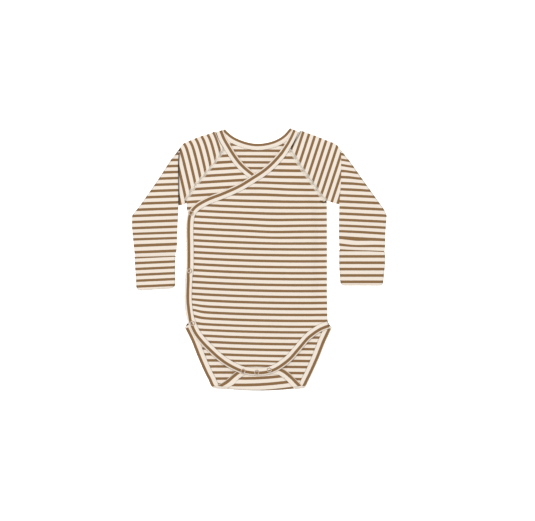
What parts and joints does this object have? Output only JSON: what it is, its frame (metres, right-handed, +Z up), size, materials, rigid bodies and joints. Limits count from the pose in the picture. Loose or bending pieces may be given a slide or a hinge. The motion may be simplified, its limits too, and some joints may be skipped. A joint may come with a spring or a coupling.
{
  "type": "baby kimono bodysuit",
  "caption": "Long-sleeved baby bodysuit with a side-wrap front, bound edges, ring snaps and fold-over mitten cuffs, laid flat with its sleeves folded down.",
  "frame": {"origin": "centre of the bounding box's underside, on the surface that the garment lies on", "axes": "+X towards the wearer's left, +Y from the crotch to the neck, +Z up out of the front of the garment"},
  "size_m": [0.3951, 0.4074, 0.01],
  "materials": {
    "striped_jersey": "matt cotton jersey, ivory with thin caramel-brown stripes",
    "binding_jersey": "matt cotton jersey binding, ivory with one brown stripe along it",
    "snap_enamel": "satin pale beige ring snaps"
  },
  "bodies": {
    "root": {"back": "striped_jersey", "front_under": "striped_jersey", "front_outer": "striped_jersey", "sleeve_right": "striped_jersey", "sleeve_left": "striped_jersey", "mitten_right": "striped_jersey", "mitten_left": "striped_jersey", "binding_wrap_outer": "binding_jersey", "binding_wrap_under": "binding_jersey", "binding_neck_back": "binding_jersey", "binding_leg_back": "binding_jersey", "snap_side_1": "snap_enamel", "snap_side_2": "snap_enamel", "snap_side_3": "snap_enamel", "snap_crotch_1": "snap_enamel", "snap_crotch_2": "snap_enamel", "snap_crotch_3": "snap_enamel"}
  },
  "joints": []
}
